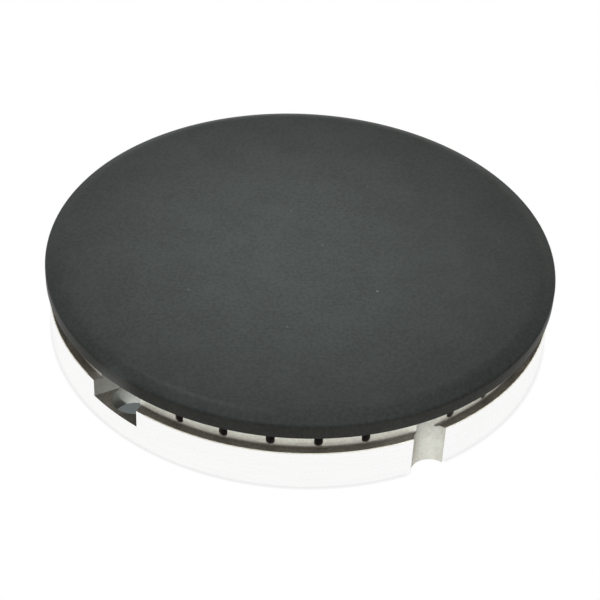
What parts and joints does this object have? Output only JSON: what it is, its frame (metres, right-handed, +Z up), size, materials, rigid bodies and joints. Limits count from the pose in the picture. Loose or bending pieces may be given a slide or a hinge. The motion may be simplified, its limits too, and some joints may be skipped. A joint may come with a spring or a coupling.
{
  "type": "gas burner cap",
  "caption": "Round gas hob burner cap: an enamelled disc with a bevelled edge resting on a cast aluminium flame spreader with slotted flame ports.",
  "frame": {"origin": "middle of the spreader's foot, on the surface that it stands on", "axes": "+Z up along the axis of the disc; the picture looks along +Y, with +X to the right"},
  "size_m": [0.1, 0.1, 0.0167],
  "materials": {
    "black_enamel": "matt vitreous enamel, very finely grained",
    "cast_aluminium": "bare die-cast, turned on the outside"
  },
  "bodies": {
    "root": {"burner_cap": "black_enamel", "flame_spreader": "cast_aluminium"}
  },
  "joints": []
}
